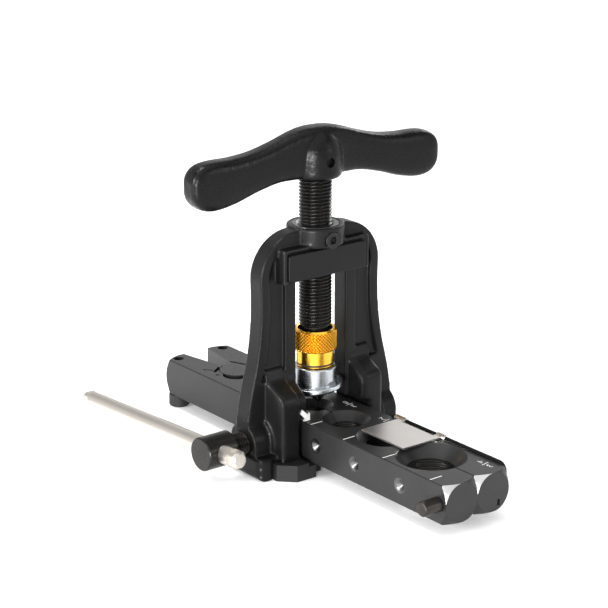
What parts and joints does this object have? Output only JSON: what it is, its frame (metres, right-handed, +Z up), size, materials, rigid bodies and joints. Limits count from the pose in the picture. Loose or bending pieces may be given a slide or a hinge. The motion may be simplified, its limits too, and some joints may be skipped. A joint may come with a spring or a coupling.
{
  "type": "flaring tool",
  "caption": "Bench-standing flaring tool: a screw yoke with a T-handle slides along a hinged bar of split dies, with a side clamp screw.",
  "frame": {"origin": "on the feed screw's axis, at the surface the tool stands on", "axes": "+Z up along the feed screw; +Y towards the hinge end of the die bar; -Y towards the largest die; the clamp screw is on the -X side"},
  "size_m": [0.1194, 0.1948, 0.1396],
  "materials": {
    "yoke_black": "satin textured black coat on a casting",
    "base_grey": "satin dark grey",
    "handle_black": "coarse wrinkle-textured black coat",
    "plaque_black": "satin black plate, plain",
    "bar_grey": "dark grey blackened steel, satin",
    "bushing_grey": "turned steel, light grey",
    "black_oxide": "black oxide, oiled",
    "dark_fastener": "black oxide fastener",
    "gold_anodised": "gold anodised, knurled",
    "bright_chrome": "polished chrome",
    "cone_steel": "hardened and polished steel",
    "bearing_steel": "ground steel",
    "spring_steel": "drawn spring wire",
    "pin_steel": "turned pin, dull",
    "nickel": "nickel plated rod",
    "stainless": "brushed stainless sheet",
    "black_rubber": "moulded rubber",
    "clear_plastic": "clear bumper"
  },
  "bodies": {
    "yoke": {"yoke_frame": "yoke_black", "base_plate": "base_grey", "base_plate_screws": "dark_fastener", "name_plaque": "plaque_black", "feed_bushing": "bushing_grey", "bushing_set_screw": "dark_fastener"},
    "feed_carrier": {"thrust_washer": "bearing_steel", "thrust_balls": "bearing_steel"},
    "feed_screw": {"feed_screw": "black_oxide", "handle": "handle_black", "handle_pin": "dark_fastener", "collar_nut": "bearing_steel", "snap_ring": "spring_steel"},
    "collar": {"knurled_collar": "gold_anodised", "collar_ring": "black_rubber"},
    "head": {"cone_holder": "bright_chrome"},
    "cone": {"flaring_cone": "cone_steel"},
    "clamp_nose": {"clamp_tip": "bearing_steel"},
    "clamp_screw": {"clamp_screw": "black_oxide"},
    "tommy": {"tommy_bar": "nickel"},
    "right_jaw": {"die_bar_right": "bar_grey", "hinge_pin": "bar_grey", "jaw_spring": "spring_steel", "foot_right": "black_rubber", "foot_screw_right": "dark_fastener", "stop_rod": "black_oxide", "front_bumper": "clear_plastic"},
    "left_jaw": {"die_bar_left": "bar_grey", "stop_pin": "pin_steel", "foot_left": "black_rubber", "foot_screw_left": "dark_fastener"},
    "tube_stop": {"stop_plate": "stainless"}
  },
  "joints": [
    {"name": "bar_slide", "type": "slide", "parent": "yoke", "child": "right_jaw", "axis": [0, 1, 0], "range_m": [-0.0175, 0.0725]},
    {"name": "jaw_open", "type": "hinge", "parent": "right_jaw", "child": "left_jaw", "pos_m": [0, 0.0545, 0.0135], "axis": [0, 0, -1], "range_deg": [0, 1.15]},
    {"name": "stop_flip", "type": "hinge", "parent": "right_jaw", "child": "tube_stop", "pos_m": [0.0164, -0.0485, 0.0219], "axis": [0, 1, 0], "range_deg": [0, 180]},
    {"name": "feed_travel", "type": "slide", "parent": "yoke", "child": "feed_carrier", "axis": [0, 0, -1], "range_m": [-0.02288, 0.00429]},
    {"name": "feed_turn", "type": "hinge", "parent": "feed_carrier", "child": "feed_screw", "pos_m": [0, 0, 0.06], "axis": [0, 0, -1], "range_deg": [-5760, 1080]},
    {"name": "collar_spin", "type": "hinge", "parent": "feed_carrier", "child": "collar", "pos_m": [0, 0, 0.048], "axis": [0, 0, 1], "continuous": true},
    {"name": "head_spin", "type": "hinge", "parent": "feed_carrier", "child": "head", "pos_m": [0, 0, 0.036], "axis": [0, 0, 1], "continuous": true},
    {"name": "cone_roll", "type": "hinge", "parent": "head", "child": "cone", "pos_m": [0.00063, -0.00049, 0.0285], "axis": [-0.0962, 0.0749, 0.9925], "continuous": true},
    {"name": "clamp_travel", "type": "slide", "parent": "yoke", "child": "clamp_nose", "axis": [-1, 0, 0], "range_m": [0, 0.005]},
    {"name": "clamp_turn", "type": "hinge", "parent": "clamp_nose", "child": "clamp_screw", "pos_m": [-0.04, 0, 0.0135], "axis": [-1, 0, 0], "range_deg": [0, 1440]},
    {"name": "tommy_slide", "type": "slide", "parent": "clamp_screw", "child": "tommy", "axis": [0, 0.9983, -0.0576], "range_m": [-0.086, 0.008]}
  ],
  "couplings": [
    {"joint": "feed_travel", "follows": "feed_turn", "m_per_rad": 0.00022759},
    {"joint": "clamp_travel", "follows": "clamp_turn", "m_per_rad": 0.00019894},
    {"joint": "jaw_open", "follows": "clamp_turn", "ratio": 0.00079861}
  ]
}
